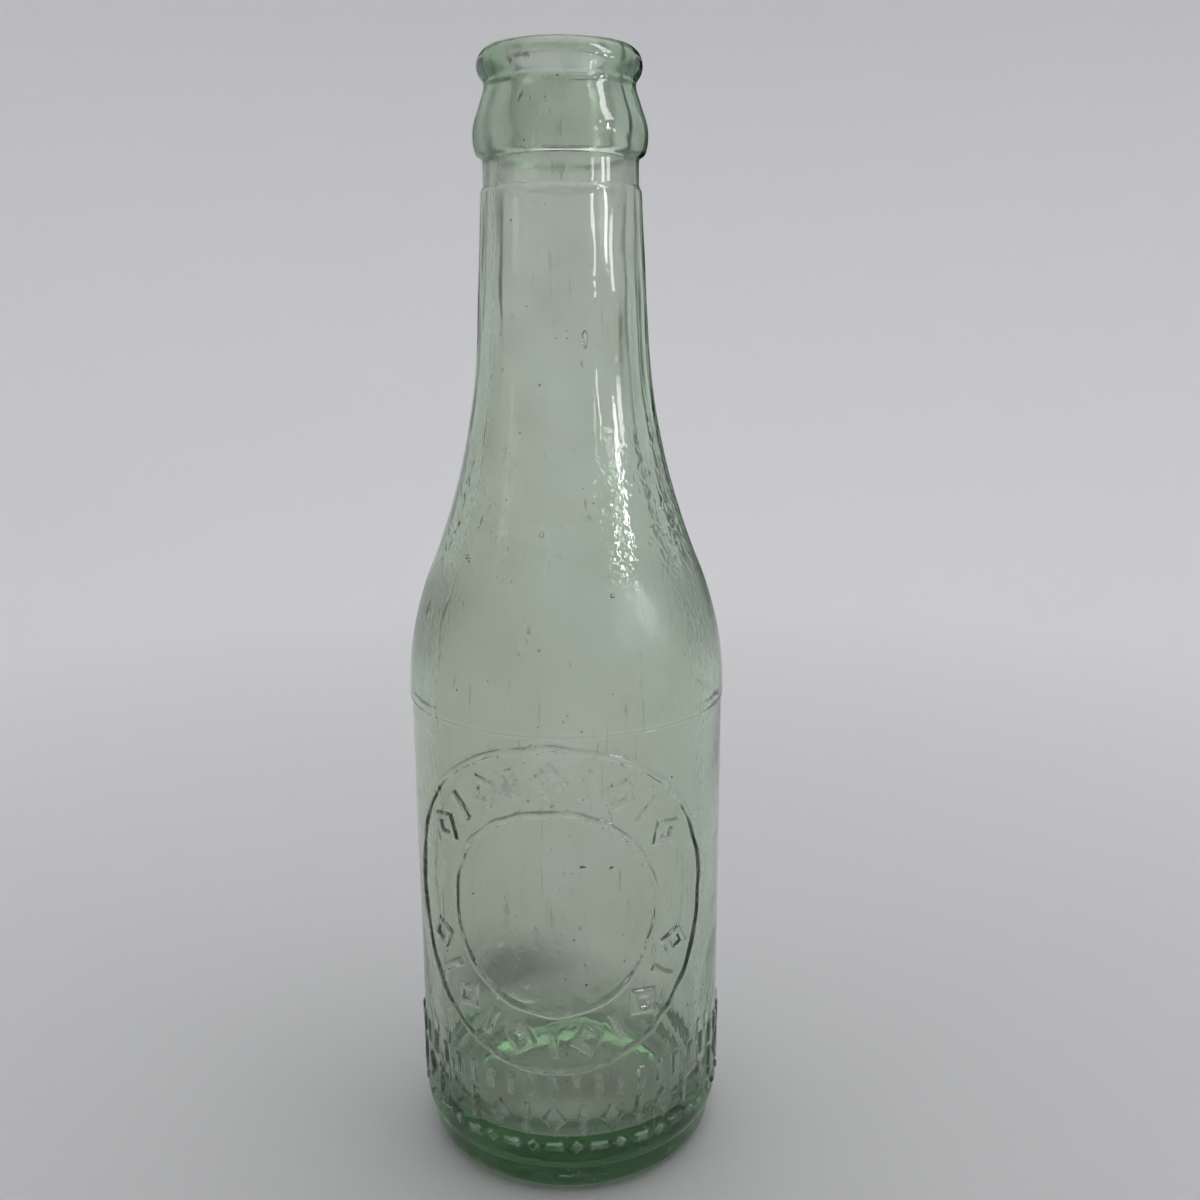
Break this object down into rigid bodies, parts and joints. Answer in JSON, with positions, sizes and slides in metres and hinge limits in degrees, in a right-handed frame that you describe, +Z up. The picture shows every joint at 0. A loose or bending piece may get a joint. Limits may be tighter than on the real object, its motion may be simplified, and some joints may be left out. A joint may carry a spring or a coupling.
{
  "type": "glass soda bottle",
  "caption": "Small pale green glass soda bottle for a crown cap, empty and open, with a long neck, a round raised badge on the front and raised marks round the heel.",
  "frame": {"origin": "on the bottle's axis, in the plane of the bearing ring it stands on", "axes": "+Z up along the bottle's axis towards the mouth; -Y is the front, where the raised badge faces, turned 4.8 degrees towards -X; +X is to the right seen from the front"},
  "size_m": [0.056, 0.0556, 0.191],
  "materials": {
    "bottle_glass": "pale green soda glass, clear, slightly scuffed, a few seed bubbles",
    "raised_marks": "the same pale green glass, raised marks with softly rounded, worn edges"
  },
  "bodies": {
    "root": {"bottle_glass": "bottle_glass", "badge_outer_ring": "raised_marks", "badge_inner_ring": "raised_marks", "badge_upper_border": "raised_marks", "badge_lower_border": "raised_marks", "heel_band_upper": "raised_marks", "heel_band_middle": "raised_marks", "heel_band_lower": "raised_marks", "shoulder_parting_line": "raised_marks", "neck_ring_parting_line": "raised_marks", "base_plate_parting_line": "raised_marks", "side_mould_seams": "raised_marks"}
  },
  "joints": []
}
